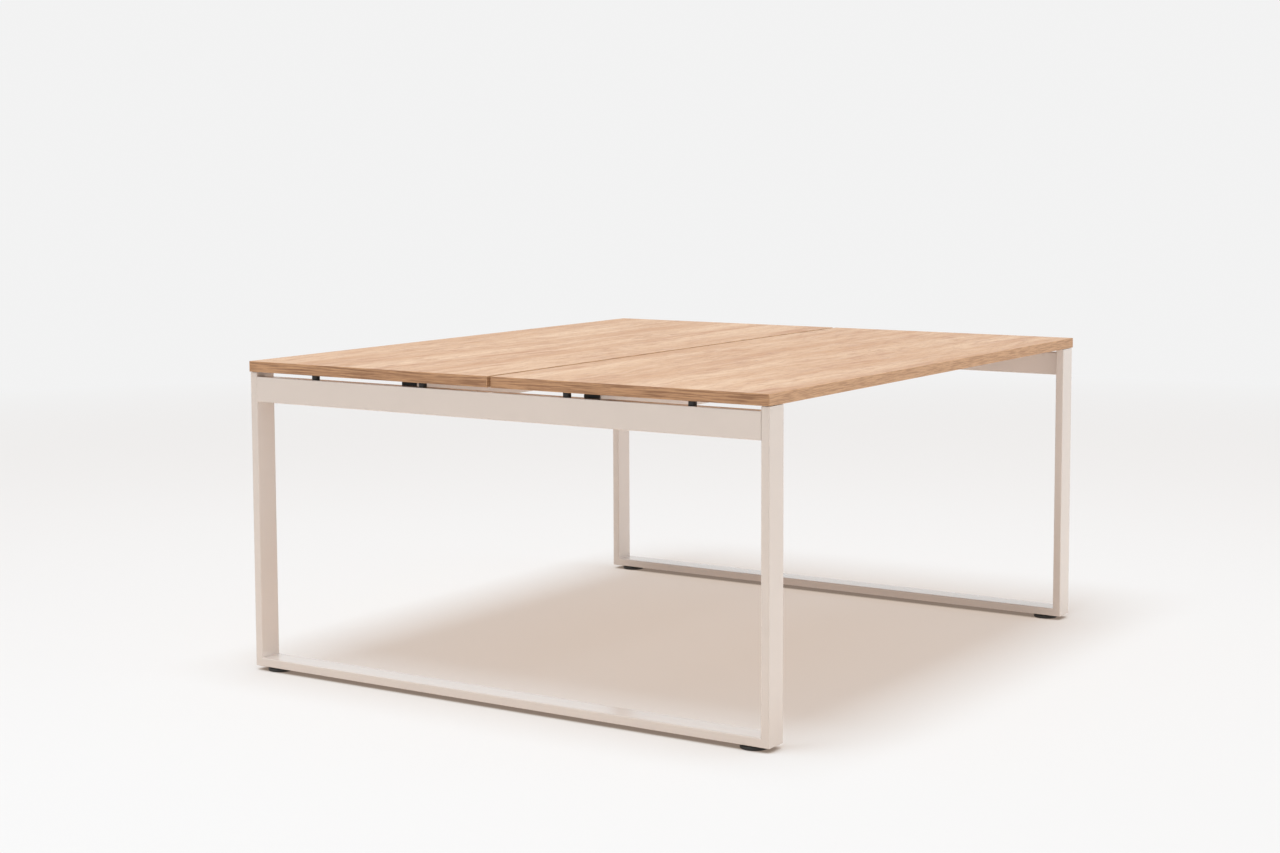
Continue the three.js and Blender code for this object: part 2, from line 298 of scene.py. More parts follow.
def thread(centre, major, depth, pitch, start, end, tip, sides):
    """Rings of a right-hand screw thread between two levels, tapered towards the tip's level."""
    count = round((end - start) / pitch * thread_steps)
    rings = []
    for step in range(count + 1):
        level = start + (end - start) * step / count
        crest = min(major, major - thread_taper + abs(tip - level))

        def reach(angle, level=level, crest=crest):
            turn = (level / pitch - angle / (2 * math.pi)) % 1
            return min(crest, major - depth * abs(2 * turn - 1))

        rings.append(ring(centre, reach, level, sides))
    return rings


zinc = zinc_plate()
collar_top = collar_level + collar_height
full_hexagon = hexagon(collar_across_flats, math.inf)
trimmed_hexagon = hexagon(collar_across_flats, collar_chamfer_radius)
for corner in corners:
    low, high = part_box(f"foot_stud_{corner}")
    centre = (low + high) / 2
    profile = [
        (0, low.z),
        (stud_radius - stud_chamfer, low.z),
        (stud_radius, low.z + stud_chamfer),
        (stud_radius, collar_level),
        (trimmed_hexagon, collar_level),
        (full_hexagon, collar_level + collar_chamfer),
        (full_hexagon, collar_top - collar_chamfer),
        (trimmed_hexagon, collar_top),
    ]
    rings = turned(centre, profile, stud_sides)
    rings += thread(
        centre, stud_radius, stud_thread_depth, stud_pitch,
        start=collar_top, end=high.z, tip=high.z, sides=stud_sides,
    )
    rings += turned(centre, [(0, high.z)], stud_sides)
    stud = mesh_object(f"threaded_stud_{corner}", loft(rings))
    dress(stud, zinc, f"stud_{corner}", [f"foot_stud_{corner}"])

# Foot inserts
# Turned steel nuts pressed through the floor rail's lower wall, plated like the studs.
# Only the narrow spigot shows from below, set back a little inside the painted hole.
insert_sides = 36
insert_spigot_radius = 6.8 * mm
insert_seat = 12 * mm
insert_bore_radius = 5.35 * mm
insert_chamfer = 0.4 * mm

for corner in corners:
    low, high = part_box(f"foot_insert_{corner}")
    insert_radius = (high.x - low.x) / 2
    profile = [
        (insert_bore_radius + insert_chamfer, low.z),
        (insert_spigot_radius - insert_chamfer, low.z),
        (insert_spigot_radius, low.z + insert_chamfer),
        (insert_spigot_radius, insert_seat),
        (insert_radius, insert_seat),
        (insert_radius, high.z - insert_chamfer),
        (insert_radius - insert_chamfer, high.z),
        (insert_bore_radius + insert_chamfer, high.z),
        (insert_bore_radius, high.z - insert_chamfer),
        (insert_bore_radius, low.z + insert_chamfer),
    ]
    skin = loft(turned((low + high) / 2, profile, insert_sides), closed=True)
    insert = mesh_object(f"pressed_insert_{corner}", skin)
    dress(insert, zinc, "root", [f"foot_insert_{corner}"])

# End frames
# Two legs and a floor rail of flat steel tube, mitred, welded and ground flush at the lower corners.
# The whole is powder-coated off-white, so no seam shows. Holes under the rail take the feet's inserts.
tube_wall = 2 * mm
tube_rounding = 2.5 * mm
bore_rounding = 0.5 * mm
ground_corner = 1 * mm
corner_steps = 5
hole_sides = 32
hole_ease = 0.4 * mm
insert_hole_radius = 7.2 * mm
drill_overshoot = 1 * mm
cream_dark = (0.655, 0.593, 0.545, 1)
cream_light = (0.685, 0.622, 0.575, 1)
cream_speck = (0.73, 0.670, 0.617, 1)
cream_speck_share = 0.25
cream_roughness = (0.16, 0.24)
cream_skin_roughness = 0.15
cream_cloud_per_metre = (5, 5, 5)
cream_speck_per_metre = (900, 900, 900)
orange_peel_per_metre = (420, 420, 420)
orange_peel_depth = 0.03 * mm


def powder_coat():
    """Off-white powder coat: hardly visible clouds and specks, a slight orange peel and a smooth skin."""
    material, shader, place = new_material("off_white_powder_coat")
    cloud = noise(material, place, cream_cloud_per_metre, octaves=3.0)
    speck = noise(material, place, cream_speck_per_metre, octaves=2.0)
    peel = noise(material, place, orange_peel_per_metre, octaves=2.0)
    plain = mixed(material, cloud, cream_dark, cream_light)
    speck_share = between(material, speck, 0, cream_speck_share, start=0.6, end=0.75)
    colour = mixed(material, speck_share, plain, cream_speck)
    roughness = between(material, peel, *cream_roughness)
    normal = bumped(material, peel, orange_peel_depth, strength=0.25)
    shader.inputs["Coat Weight"].default_value = 1.0
    shader.inputs["Coat Roughness"].default_value = cream_skin_roughness
    finish_with(material, shader, colour, roughness, normal)
    return material


def rounded_rectangle(width, height, rounding):
    """The outline of a tube, centred, with round corners."""
    across = width / 2 - rounding
    up = height / 2 - rounding
    outline = arc(across, up, rounding, 0, 90, corner_steps)
    outline += arc(-across, up, rounding, 90, 180, corner_steps)
    outline += arc(-across, -up, rounding, 180, 270, corner_steps)
    outline += arc(across, -up, rounding, 270, 360, corner_steps)
    return outline


def hollow(rings_of, width, height, wall, rounding):
    """The skin of an open tube, out along its outside and back along its bore."""
    outside = rings_of(rounded_rectangle(width, height, rounding))
    bore = rings_of(rounded_rectangle(width - 2 * wall, height - 2 * wall, bore_rounding))
    return loft(outside + bore[::-1], closed=True)


def eased_hole(centre, radius, face, through):
    """The skin of a drill bit for a hole whose edge on the lower face is eased."""
    profile = [
        (0, face - drill_overshoot),
        (radius + hole_ease, face - drill_overshoot),
        (radius + hole_ease, face),
        (radius, face + hole_ease),
        (radius, through + drill_overshoot),
        (0, through + drill_overshoot),
    ]
    return loft(turned(centre, profile, hole_sides))


def cut_away(piece, cutter_skins):
    """Cuts the shapes of drill bits out of a piece for good."""
    vertices = []
    faces = []
    for skin_vertices, skin_faces in cutter_skins:
        first = len(vertices)
        vertices.extend(skin_vertices)
        faces.extend([first + number for number in face] for face in skin_faces)
    cutter = mesh_object("cutter", (vertices, faces))
    cut = piece.modifiers.new("cut", "BOOLEAN")
    cut.operation = "DIFFERENCE"
    cut.solver = "EXACT"
    cut.object = cutter
    evaluated = piece.evaluated_get(bpy.context.evaluated_depsgraph_get())
    piece.data = bpy.data.meshes.new_from_object(evaluated)
    piece.modifiers.clear()
    bpy.data.objects.remove(cutter)


cream_paint = powder_coat()
for end, _ in frame_ends:
    leg_low, leg_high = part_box(f"leg_{end}_right")
    rail_low, rail_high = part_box(f"floor_rail_{end}")
    middle_x = (leg_low.x + leg_high.x) / 2
    tube_width = leg_high.x - leg_low.x
    tube_thickness = rail_high.z - rail_low.z
    half_depth = -leg_low.y

    def frame_rings(outline):
        """Rings that run down the right leg, along the floor rail and up the left leg."""
        rings = []
        for _, side in desk_sides:
            bend_start = 180 if side < 0 else 270
            bend = []
            for step in range(corner_steps + 1):
                angle = math.radians(bend_start + 90 * step / corner_steps)
                points = []
                for across, inward in outline:
                    inset = tube_thickness / 2 + inward + ground_corner
                    y = side * (half_depth - inset) + ground_corner * math.cos(angle)
                    z = rail_low.z + inset + ground_corner * math.sin(angle)
                    points.append((middle_x + across, y, z))
                bend.append(points)
            if side < 0:
                leg_top = [(x, y, leg_high.z) for x, y, _ in bend[0]]
                rings += [leg_top] + bend
            else:
                leg_top = [(x, y, leg_high.z) for x, y, _ in bend[-1]]
                rings += bend + [leg_top]
        return rings

    holes = []
    for side, _ in desk_sides:
        insert_low, insert_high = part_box(f"foot_insert_{end}_{side}")
        insert_middle = (insert_low + insert_high) / 2
        holes.append(eased_hole(insert_middle, insert_hole_radius, rail_low.z, rail_low.z + tube_wall))
    skin = hollow(frame_rings, tube_width, tube_thickness, tube_wall, tube_rounding)
    end_frame = mesh_object(f"welded_frame_{end}", skin)
    cut_away(end_frame, holes)
    frame_nodes = [f"leg_{end}_right", f"leg_{end}_left", f"floor_rail_{end}"]
    dress(end_frame, cream_paint, "root", frame_nodes)

# End beams
# Rectangular steel tube, welded between the legs, flush with their outside. Wide holes below let a driver
# reach the worktops' screws, and small holes in the inner wall take the bolts of the long beams' plates.
beam_wall = 2 * mm
beam_rounding = 3 * mm
access_hole_radius = 8 * mm
fastener_hole_radius = 3.4 * mm
rows = ("inner", "outer")
upwards = Vector((0, 0, 1))


def plain_hole(bottom, top):
    """The skin of a drill bit on the origin's upright axis, for a screw or a bolt."""
    profile = [(0, bottom), (fastener_hole_radius, bottom), (fastener_hole_radius, top), (0, top)]
    return loft(turned(Vector((0, 0, 0)), profile, hole_sides))


def placed(skin, origin, top_towards):
    """A skin drawn upright on the origin, turned so that its top points along X or up, then moved."""
    turn = upwards.rotation_difference(top_towards).to_matrix()
    return [tuple(turn @ Vector(point) + origin) for point in skin[0]], skin[1]


for end, outward in frame_ends:
    low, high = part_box(f"end_beam_{end}")
    inwards = Vector((-outward, 0, 0))
    inner_face = high.x if outward < 0 else low.x
    middle = (low + high) / 2

    def beam_rings(outline):
        """Rings at the two ends of the beam, with the outline standing across X and Z."""
        return [[(middle.x + across, y, middle.z + up) for across, up in outline] for y in (low.y, high.y)]

    wall_hole = plain_hole(-beam_wall - drill_overshoot, drill_overshoot)
    holes = []
    for side, _ in desk_sides:
        for row in rows:
            spacer_low, spacer_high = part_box(f"spacer_{end}_{side}_{row}")
            spacer_middle = (spacer_low + spacer_high) / 2
            holes.append(eased_hole(spacer_middle, access_hole_radius, low.z, low.z + beam_wall))
            screw_place = Vector((spacer_middle.x, spacer_middle.y, high.z))
            holes.append(placed(wall_hole, screw_place, upwards))
            bolt_low, bolt_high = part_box(f"bracket_bolt_{end}_{side}_{row}")
            bolt_middle = (bolt_low + bolt_high) / 2
            bolt_place = Vector((inner_face, bolt_middle.y, bolt_middle.z))
            holes.append(placed(wall_hole, bolt_place, inwards))
    skin = hollow(beam_rings, high.x - low.x, high.z - low.z, beam_wall, beam_rounding)
    end_beam = mesh_object(f"end_tube_{end}", skin)
    cut_away(end_beam, holes)
    dress(end_beam, cream_paint, "root", [f"end_beam_{end}"])

# Long beams
# Two rectangular steel tubes that tie the end frames together, in the same off-white coat.
# They stand a little above the end beams, and each end is welded to an upright plate.
long_wall = 2 * mm
long_rounding = 3 * mm

for side, _ in desk_sides:
    low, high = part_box(f"long_beam_{side}")
    middle = (low + high) / 2

    def long_rings(outline):
        """Rings at the two ends of the beam, with the outline standing across Y and Z."""
        return [[(x, middle.y + across, middle.z + up) for across, up in outline] for x in (low.x, high.x)]

    skin = hollow(long_rings, high.y - low.y, high.z - low.z, long_wall, long_rounding)
    long_beam = mesh_object(f"long_tube_{side}", skin)
    dress(long_beam, cream_paint, "root", [f"long_beam_{side}"])

# Bracket plates
# Upright steel plates coated matt black, welded over the open ends of the long beams.
# A wing on each side of the beam takes a bolt into the end beam's inner wall.
plate_wing_height = 40 * mm
plate_corner = 2.5 * mm
plate_ease = 0.5 * mm
black_dark = (0.012, 0.011, 0.010, 1)
black_light = (0.020, 0.019, 0.017, 1)
black_roughness = (0.45, 0.62)
black_cloud_per_metre = (60, 60, 60)
black_texture_per_metre = (1300, 1300, 1300)
black_texture_depth = 0.04 * mm


def matt_black_coat():
    """Matt black powder coat with a fine texture."""
    material, shader, place = new_material("matt_black_coat")
    cloud = noise(material, place, black_cloud_per_metre, octaves=3.0)
    texture = noise(material, place, black_texture_per_metre, octaves=2.0)
    colour = mixed(material, cloud, black_dark, black_light)
    roughness = between(material, texture, *black_roughness)
    normal = bumped(material, texture, black_texture_depth, strength=0.6)
    finish_with(material, shader, colour, roughness, normal)
    return material


def plate_outline(cover, wings, inset):
    """Points round a plate of two crossed rectangles, each given by half width, bottom and top."""
    rounding = plate_corner - inset
    cover_side, cover_bottom, cover_top = cover[0] - inset, cover[1] + inset, cover[2] - inset
    wing_side, wing_bottom, wing_top = wings[0] - inset, wings[1] + inset, wings[2] - inset
    right_half = arc(cover_side - rounding, cover_bottom + rounding, rounding, 270, 360, corner_steps)
    right_half += [(cover_side, wing_bottom)]
    right_half += arc(wing_side - rounding, wing_bottom + rounding, rounding, 270, 360, corner_steps)
    right_half += arc(wing_side - rounding, wing_top - rounding, rounding, 0, 90, corner_steps)
    right_half += [(cover_side, wing_top)]
    right_half += arc(cover_side - rounding, cover_top - rounding, rounding, 0, 90, corner_steps)
    return right_half + [(-across, up) for across, up in reversed(right_half)]


def eased_ends(start, stop, ease):
    """Four places along a piece, each with how far its outline is drawn in there to ease the two ends."""
    return [(start, ease), (start + ease, 0), (stop - ease, 0), (stop, ease)]


black_coat = matt_black_coat()
for end, outward in frame_ends:
    inwards = Vector((-outward, 0, 0))
    for side, _ in desk_sides:
        low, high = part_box(f"bracket_{end}_{side}")
        beam_low, beam_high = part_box(f"long_beam_{side}")
        inner_face = high.x if outward < 0 else low.x
        through = plain_hole(low.x - high.x - drill_overshoot, drill_overshoot)
        bolts = []
        for row in rows:
            bolt_low, bolt_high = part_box(f"bracket_bolt_{end}_{side}_{row}")
            bolts.append((bolt_low + bolt_high) / 2)
        holes = [placed(through, Vector((inner_face, bolt.y, bolt.z)), inwards) for bolt in bolts]
        middle_y = (low.y + high.y) / 2
        wing_bottom = bolts[0].z - plate_wing_height / 2
        wings = ((high.y - low.y) / 2, wing_bottom, wing_bottom + plate_wing_height)
        cover = ((beam_high.y - beam_low.y) / 2, low.z, high.z)
        rings = []
        for x, inset in eased_ends(low.x, high.x, plate_ease):
            outline = plate_outline(cover, wings, inset)
            rings.append([(x, middle_y + across, level) for across, level in outline])
        plate = mesh_object(f"bracket_plate_{end}_{side}", loft(rings))
        cut_away(plate, holes)
        dress(plate, black_coat, "root", [f"bracket_{end}_{side}"])

# Bracket bolts
# Zinc-plated M6 button heads with a hexagon socket, screwed through the plates into the end beams.
# The head is a low dome that stands on the plate's inner face, and the thread ends inside the tube.
bolt_sides = 36
bolt_radius = 3 * mm
bolt_pitch = 1 * mm
bolt_thread_depth = 0.6 * mm
bolt_head_height = 3.3 * mm
bolt_rim = 0.6 * mm
bolt_crown_radius = 3.2 * mm
bolt_socket_flats = 4 * mm
bolt_socket_depth = 2 * mm
bolt_socket_chamfer = 0.25 * mm
dome_steps = 6


def button_bolt(head_radius, length):
    """The skin of a bolt standing on the origin with its head upwards."""
    axis = Vector((0, 0, 0))
    rings = turned(axis, [(0, -length)], bolt_sides)
    rings += thread(
        axis, bolt_radius, bolt_thread_depth, bolt_pitch,
        start=-length, end=0, tip=-length, sides=bolt_sides,
    )
    head = [(head_radius, 0), (head_radius, bolt_rim)]
    for step in range(1, dome_steps + 1):
        share = step / dome_steps
        radius = head_radius + (bolt_crown_radius - head_radius) * share
        rise = math.sin(share * math.pi / 2)
        head.append((radius, bolt_rim + (bolt_head_height - bolt_rim) * rise))
    socket_mouth = hexagon(bolt_socket_flats + 2 * bolt_socket_chamfer, math.inf)
    socket_wall = hexagon(bolt_socket_flats, math.inf)
    head += [
        (socket_mouth, bolt_head_height),
        (socket_wall, bolt_head_height - bolt_socket_chamfer),
        (socket_wall, bolt_head_height - bolt_socket_depth),
        (0, bolt_head_height - bolt_socket_depth),
    ]
    rings += turned(axis, head, bolt_sides)
    return loft(rings)


for end, outward in frame_ends:
    for place in [f"{end}_{side}_{row}" for side, _ in desk_sides for row in rows]:
        low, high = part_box(f"bracket_bolt_{place}")
        middle = (low + high) / 2
        seat_x = high.x - bolt_head_height if outward < 0 else low.x + bolt_head_height
        upright_bolt = button_bolt((high.y - low.y) / 2, high.x - low.x - bolt_head_height)
        skin = placed(upright_bolt, Vector((seat_x, middle.y, middle.z)), Vector((-outward, 0, 0)))
        bolt = mesh_object(f"button_bolt_{place}", skin)
        dress(bolt, zinc, "root", [f"bracket_bolt_{place}"])

# Spacers
# Black plastic sleeves that stand on the end beams and hold the worktops clear of the steel.
# Each is a turned ring with eased rims, with the worktop screw through its bore.
spacer_sides = 48
spacer_bore_radius = 3.4 * mm
spacer_ease = 0.6 * mm
screw_places = [f"{corner}_{row}" for corner in corners for row in rows]

for place in screw_places:
    low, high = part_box(f"spacer_{place}")
    spacer_radius = (high.y - low.y) / 2
    profile = [
        (spacer_bore_radius, low.z),
        (spacer_radius - spacer_ease, low.z),
        (spacer_radius, low.z + spacer_ease),
        (spacer_radius, high.z - spacer_ease),
        (spacer_radius - spacer_ease, high.z),
        (spacer_bore_radius, high.z),
    ]
    skin = loft(turned((low + high) / 2, profile, spacer_sides), closed=True)
    sleeve = mesh_object(f"sleeve_{place}", skin)
    dress(sleeve, black_plastic, "root", [f"spacer_{place}"])

# Worktop screws
# Zinc-plated screws driven up from inside the end beam, through the sleeve, into the board.
# The pan head with its hexagon socket can be seen through the access hole below.
screw_sides = 36
screw_radius = 3 * mm
screw_pitch = 2.5 * mm
screw_thread_depth = 0.8 * mm
screw_head_height = 4 * mm
screw_head_edge = 0.8 * mm
screw_socket_flats = 4 * mm
screw_socket_depth = 2.4 * mm

screw_socket_wall = hexagon(screw_socket_flats, math.inf)
for place in screw_places:
    low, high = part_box(f"worktop_screw_{place}")
    centre = (low + high) / 2
    head_radius = (high.y - low.y) / 2
    seat = low.z + screw_head_height
    profile = [
        (0, low.z + screw_socket_depth),
        (screw_socket_wall, low.z + screw_socket_depth),
        (screw_socket_wall, low.z),
        (head_radius - screw_head_edge, low.z),
        (head_radius, low.z + screw_head_edge),
        (head_radius, seat),
    ]
    rings = turned(centre, profile, screw_sides)
    rings += thread(
        centre, screw_radius, screw_thread_depth, screw_pitch,
        start=seat, end=high.z, tip=high.z, sides=screw_sides,
    )
    rings += turned(centre, [(0, high.z)], screw_sides)
    screw = mesh_object(f"pan_screw_{place}", loft(rings))
    dress(screw, zinc, "root", [f"worktop_screw_{place}"])

# Worktop boards
# Particle board faced with a light oak melamine whose printed grain runs along the desk.
# The two boards are cut from different sheets, so their grain doesn't line up across the gap.
sheet_shifts = (("right", (0.37, 1.9, 0)), ("left", (4.61, 7.3, 0)))
oak_cream = (0.610, 0.425, 0.277, 1)
oak_tan = (0.445, 0.245, 0.123, 1)
oak_growth_line = (0.33, 0.138, 0.057, 1)
oak_streak = (0.415, 0.222, 0.118, 1)
oak_mottle = (0.36, 0.185, 0.095, 1)
oak_fleck = (0.29, 0.138, 0.069, 1)
oak_pore = (0.255, 0.142, 0.077, 1)
oak_roughness = (0.42, 0.54)
oak_pore_depth = 0.05 * mm
grain_sway = 0.012
growth_line_spacing = 0.045
growth_line_width = 0.012
growth_line_strength = 0.85
streak_strength = 0.26
mottle_crispness = 0.72
mottle_strength = (0.12, 0.95)
fleck_strength = 0.85
pore_strength = 0.35
sway_per_metre = (1.6, 4, 0)
band_per_metre = (0.9, 13, 0)
growth_per_metre = (0.45, 7, 0)
patch_per_metre = (2.2, 11, 0)
streak_per_metre = (11, 66, 0)
mottle_per_metre = (11.5, 48, 0)
cluster_per_metre = (2.4, 8, 0)
fleck_per_metre = (24, 360, 0)
pore_per_metre = (85, 1500, 0)


def moved(material, place, shift):
    """Coordinates moved by a fixed shift, or by one that changes from place to place."""
    return add_node(material, "ShaderNodeVectorMath", {0: place, 1: shift}, operation="ADD").outputs[0]


def product(material, first, second):
    """One amount times another."""
    return add_node(material, "ShaderNodeMath", {0: first, 1: second}, operation="MULTIPLY").outputs[0]


def oak_facing(side, shift):
    """Light oak: cream and tan bands, brown growth lines, clustered mottle, short flecks, fine pores."""
    material, shader, board_place = new_material(f"oak_facing_{side}")
    sheet_place = moved(material, board_place, shift)
    sway = noise(material, sheet_place, sway_per_metre, octaves=2.0)
    sway_inputs = {"Y": between(material, sway, -grain_sway, grain_sway)}
    sideways = add_node(material, "ShaderNodeCombineXYZ", sway_inputs).outputs[0]
    place = moved(material, sheet_place, sideways)

    band = noise(material, place, band_per_metre, octaves=2.5)
    colour = mixed(material, between(material, band, 0, 1), oak_cream, oak_tan)

    growth = noise(material, place, growth_per_metre, octaves=4.0)
    fold_inputs = {0: growth, 1: growth_line_spacing}
    fold = add_node(material, "ShaderNodeMath", fold_inputs, operation="PINGPONG").outputs[0]
    line = between(material, fold, 1, 0, start=0, end=growth_line_width)
    patch = noise(material, place, patch_per_metre, octaves=2.0)
    patch_share = between(material, patch, 0, growth_line_strength, start=0.42, end=0.62)
    colour = mixed(material, product(material, line, patch_share), colour, oak_growth_line)

    streak = noise(material, place, streak_per_metre, octaves=5.0)
    streak_share = between(material, streak, 0, streak_strength, start=0.48, end=0.7)
    colour = mixed(material, streak_share, colour, oak_streak)

    mottle = noise(material, place, mottle_per_metre, octaves=5.0, crispness=mottle_crispness)
    mottle_share = between(material, mottle, 0, 1, start=0.46, end=0.66)
    cluster = noise(material, place, cluster_per_metre, octaves=2.0)
    cluster_share = between(material, cluster, *mottle_strength, start=0.4, end=0.62)
    colour = mixed(material, product(material, mottle_share, cluster_share), colour, oak_mottle)

    fleck = noise(material, place, fleck_per_metre, octaves=2.0)
    fleck_share = between(material, fleck, 0, fleck_strength, start=0.55, end=0.68)
    colour = mixed(material, fleck_share, colour, oak_fleck)

    pore = noise(material, place, pore_per_metre, octaves=2.0)
    pore_share = between(material, pore, 0, pore_strength, start=0.58, end=0.7)
    colour = mixed(material, pore_share, colour, oak_pore)

    roughness = between(material, streak, *oak_roughness)
    pore_height = between(material, pore, 1, 0, start=0.5, end=0.7)
    normal = bumped(material, pore_height, oak_pore_depth, strength=0.4)
    finish_with(material, shader, colour, roughness, normal)
    return material


for side, shift in sheet_shifts:
    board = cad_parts[f"worktop_{side}"]
    board.data.materials.clear()
    board.data.materials.append(oak_facing(side, shift))

# Edge bands
# Strips of oak-printed plastic, glued round each board and trimmed to a small radius.
# The long bands run the full length, and the end bands fit between them.
band_rounding = 1 * mm
band_rounding_steps = 5
band_hairline = 0.15 * mm
band_end_ease = 0.4 * mm
band_roughness = (0.42, 0.55)
band_grain_depth = 0.04 * mm
band_wave_scale = 0.25
band_fine_scale = 4
band_streak_strength = 0.85
band_fine_strength = 0.45
long_band_per_metre = (24, 60, 560)
long_band_pale = (0.568, 0.340, 0.183, 1)
long_band_tan = (0.543, 0.320, 0.170, 1)
long_band_dark = (0.35, 0.187, 0.093, 1)
end_band_per_metre = (60, 10, 290)
# The end bands are the same oak-printed plastic as the long bands. Their colours are darker as painted
# shade for the end faces, which get less light.
shaded_end_band_pale = (0.552, 0.323, 0.174, 1)
shaded_end_band_tan = (0.446, 0.248, 0.127, 1)
shaded_end_band_dark = (0.238, 0.116, 0.056, 1)


def oak_band(name, per_metre, pale, tan, dark):
    """Oak print with straight streaks along the band."""
    material, shader, place = new_material(name)
    wave = noise(material, place, [amount * band_wave_scale for amount in per_metre], octaves=2.0)
    streak = noise(material, place, per_metre, octaves=5.0)
    fine = noise(material, place, [amount * band_fine_scale for amount in per_metre], octaves=2.0)
    tone = mixed(material, between(material, wave, 0, 1), pale, tan)
    streak_share = between(material, streak, 0, band_streak_strength, start=0.43, end=0.62)
    streaked = mixed(material, streak_share, tone, dark)
    fine_share = between(material, fine, 0, band_fine_strength, start=0.52, end=0.68)
    colour = mixed(material, fine_share, streaked, dark)
    roughness = between(material, streak, *band_roughness)
    normal = bumped(material, fine, band_grain_depth, strength=0.4)
    finish_with(material, shader, colour, roughness, normal)
    return material


def band_section(thickness, height):
    """Depth from the board and height of a band's outline, rounded on its two outer edges."""
    half = height / 2
    outer = thickness - band_rounding
    section = [(0, -half + band_hairline), (band_hairline, -half)]
    section += arc(outer, -half + band_rounding, band_rounding, -90, 0, band_rounding_steps)
    section += arc(outer, half - band_rounding, band_rounding, 0, 90, band_rounding_steps)
    section += [(band_hairline, half), (0, half - band_hairline)]
    return section


long_band_oak = oak_band(
    "oak_band_long", long_band_per_metre, long_band_pale, long_band_tan, long_band_dark
)
shaded_end_band_oak = oak_band("oak_band_end_painted_shade", end_band_per_metre, shaded_end_band_pale, shaded_end_band_tan, shaded_end_band_dark)
for side, outward in desk_sides:
    board_low, board_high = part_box(f"worktop_{side}")
    board_middle = (board_low + board_high) / 2
    for row, away in (("inner", -outward), ("outer", outward), ("near", -1), ("far", 1)):
        node = f"edge_band_{side}_{row}"
        low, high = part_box(node)
        along_x = row in rows
        start, stop = (low.x, high.x) if along_x else (low.y, high.y)
        thickness = high.y - low.y if along_x else high.x - low.x
        if along_x:
            glue_line = low.y if away > 0 else high.y
        else:
            glue_line = low.x if away > 0 else high.x
        section = band_section(thickness, high.z - low.z)
        rings = []
        for along, ease in eased_ends(start, stop, band_end_ease):
            points = []
            for depth, height in section:
                across = glue_line + away * min(depth, thickness - ease)
                level = board_middle.z + height
                points.append((along, across, level) if along_x else (across, along, level))
            rings.append(points)
        edge_band = mesh_object(f"oak_band_{side}_{row}", loft(rings))
        dress(edge_band, long_band_oak if along_x else shaded_end_band_oak, "root", [node])

# Studio floor
# A matt pale floor that keeps the desk's shadow, tinted by a painted warm glow and darkened round the feet
# and under the rails by a painted contact shade.
# Far from the desk it fades into the colour of the backdrop, so that no horizon shows.
backdrop_colour = (0.892, 0.892, 0.892, 1)
floor_radius = 16
floor_sides = 96
fade_start = 2.6
fade_end = 7
floor_bounce_colour = (0.74, 0.65, 0.575, 1)
# For the desk, the floor also glows warm, a hidden fill light on the desk's undersides and inner faces
# besides its bounce.
floor_glow_onto_desk = (0.32, 0.285, 0.262, 1)
# For the eye, the floor's diffuse colour is bluish and a warm painted glow is added to it, so the open
# floor reads white and the desk's shadow on it reads warm.
floor_seen_colour = (0.325, 0.403, 0.456, 1)
floor_painted_glow = (0.500, 0.391, 0.318, 1)
# Painted contact shade: a near-black colour and a dimmer glow where ambient occlusion finds things close
# above the floor.
floor_painted_contact_shade = (0.06, 0.05, 0.04, 1)
contact_reach = 0.04
contact_glow = 0.44
contact_dark = 0.2
contact_open = 0.66


def seen_rays(owner):
    """One for rays that show a surface directly, in a gloss or through glass, nought for its light."""
    ray = add_node(owner, "ShaderNodeLightPath", {}).outputs
    direct = add_node(owner, "ShaderNodeMath", {0: ray["Is Camera Ray"], 1: ray["Is Glossy Ray"]})
    every = add_node(owner, "ShaderNodeMath", {0: direct.outputs[0], 1: ray["Is Transmission Ray"]})
    every.use_clamp = True
    return every.outputs[0]


def floor_finish():
    """Bounced light and a warm glow for the desk, and for the eye a white floor with a painted warm glow,
    a painted contact shade and a fade.
    """
    material, bounce, place = new_material("studio_floor")
    distance = add_node(material, "ShaderNodeVectorMath", {0: place}, operation="LENGTH").outputs["Value"]
    fade = between(material, distance, 0, 1, fade_start, fade_end)
    bounce.inputs["Base Color"].default_value = floor_bounce_colour
    bounce.inputs["Emission Color"].default_value = floor_glow_onto_desk
    bounce.inputs["Emission Strength"].default_value = 1.0
    bounce.inputs["Roughness"].default_value = 1.0
    bounce.inputs["Specular IOR Level"].default_value = 0.0
    # Painted contact shade: the occlusion mask darkens the seen colour and dims the painted glow under the
    # rails and round the feet.
    contact = add_node(material, "ShaderNodeAmbientOcclusion", {"Distance": contact_reach}).outputs["AO"]
    openness = between(material, contact, 0, 1, contact_dark, contact_open)
    open_colour = mixed(material, openness, floor_painted_contact_shade, floor_seen_colour)
    matt = add_node(material, "ShaderNodeBsdfDiffuse", {"Color": open_colour})
    open_glow = between(material, contact, contact_glow, 1, contact_dark, contact_open)
    # Painted warm glow over the floor as seen, dimmed in the painted contact shade.
    painted_glow = add_node(material, "ShaderNodeEmission", {"Color": floor_painted_glow, "Strength": open_glow})
    seen = add_node(material, "ShaderNodeAddShader", {0: matt.outputs[0], 1: painted_glow.outputs[0]})
    near_inputs = {0: seen_rays(material), 1: bounce.outputs[0], 2: seen.outputs[0]}
    near = add_node(material, "ShaderNodeMixShader", near_inputs)
    glow = add_node(material, "ShaderNodeEmission", {"Color": backdrop_colour})
    blend = add_node(material, "ShaderNodeMixShader", {0: fade, 1: near.outputs[0], 2: glow.outputs[0]})
    output = material.node_tree.nodes["Material Output"]
    material.node_tree.links.new(blend.outputs[0], output.inputs["Surface"])
    return material


floor_rim = ring(Vector((0, 0, 0)), floor_radius, 0, floor_sides)
floor = mesh_object("studio_floor", (floor_rim, [list(range(floor_sides))]))
floor.data.materials.append(floor_finish())

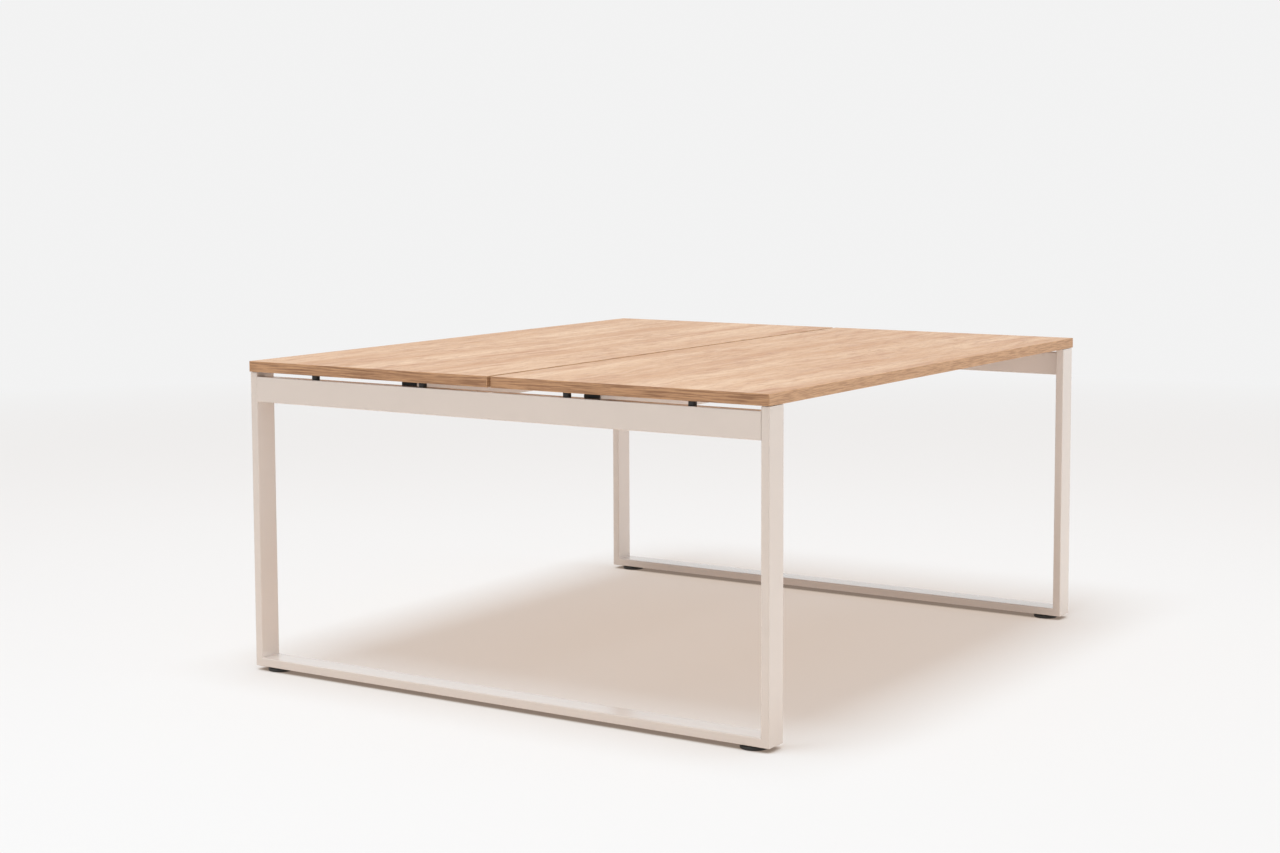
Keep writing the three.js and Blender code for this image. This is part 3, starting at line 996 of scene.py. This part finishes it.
# Studio light
# A white sky lights the desk from all round, and the camera sees an even backdrop in its place.
# A broad lamp hangs overhead, a wide fill stands to the right, and a faint one low at the near end.
sky_colour = (1, 1, 1, 1)
sky_strength = 0.44
wide_spread = math.radians(180)
narrow_spread = math.radians(24)

world = bpy.data.worlds.new("studio_light")
world.use_nodes = True
bpy.context.scene.world = world
sky = world.node_tree.nodes["Background"]
sky.inputs["Color"].default_value = sky_colour
sky.inputs["Strength"].default_value = sky_strength
backdrop = add_node(world, "ShaderNodeBackground", {"Color": backdrop_colour, "Strength": 1.0})
shown_inputs = {0: seen_rays(world), 1: sky.outputs[0], 2: backdrop.outputs[0]}
shown = add_node(world, "ShaderNodeMixShader", shown_inputs)
world.node_tree.links.new(shown.outputs[0], world.node_tree.nodes["World Output"].inputs["Surface"])


def hang_lamp(name, place, aim, width, length, power, spread):
    """A rectangular lamp that faces a point and isn't seen by the camera."""
    lamp = bpy.data.lights.new(name, "AREA")
    lamp.shape = "RECTANGLE"
    lamp.size = width
    lamp.size_y = length
    lamp.energy = power
    lamp.spread = spread
    holder = bpy.data.objects.new(name, lamp)
    holder.location = place
    holder.visible_camera = False
    holder.rotation_euler = (aim - place).to_track_quat("-Z", "Y").to_euler()
    bpy.context.scene.collection.objects.link(holder)


hang_lamp(
    "overhead_lamp", place=Vector((-1.7, 0.2, 10)), aim=Vector((0, 0, 0.7)),
    width=4.2, length=7.0, power=1000, spread=wide_spread,
)
hang_lamp(
    "right_fill", place=Vector((5.2, -10.0, 1.7)), aim=Vector((0, 0, 0.5)),
    width=8, length=8, power=490, spread=wide_spread,
)
hang_lamp(
    "low_fill", place=Vector((-4.2, 1.4, 0.35)), aim=Vector((-0.4, 0, -0.05)),
    width=1.6, length=0.5, power=0.22, spread=narrow_spread,
)

# Camera
# It stands off the near right corner of the desk, a little above the worktops, and looks slightly down.
# Yaw, pitch and roll are in radians, yaw from the desk's length. The shift lowers the frame a little.
camera_place = Vector((-4.6277, -2.8878, 1.2156))
camera_yaw = 0.5773
camera_pitch = 0.0931
camera_roll = -0.0038
camera_lens = 61.9
camera_sensor_width = 36
camera_shift = -0.05

level = math.cos(camera_pitch)
ahead = Vector((level * math.cos(camera_yaw), level * math.sin(camera_yaw), -math.sin(camera_pitch)))
level_right = Vector((math.sin(camera_yaw), -math.cos(camera_yaw), 0))
level_up = level_right.cross(ahead)
right = math.cos(camera_roll) * level_right + math.sin(camera_roll) * level_up
up = math.cos(camera_roll) * level_up - math.sin(camera_roll) * level_right
lens = bpy.data.cameras.new("photo_camera")
lens.lens = camera_lens
lens.sensor_width = camera_sensor_width
lens.shift_y = camera_shift
camera = bpy.data.objects.new("photo_camera", lens)
camera.matrix_world = Matrix.Translation(camera_place) @ Matrix((right, up, -ahead)).transposed().to_4x4()
bpy.context.scene.collection.objects.link(camera)
bpy.context.scene.camera = camera
bpy.context.scene.view_settings.view_transform = "Standard"
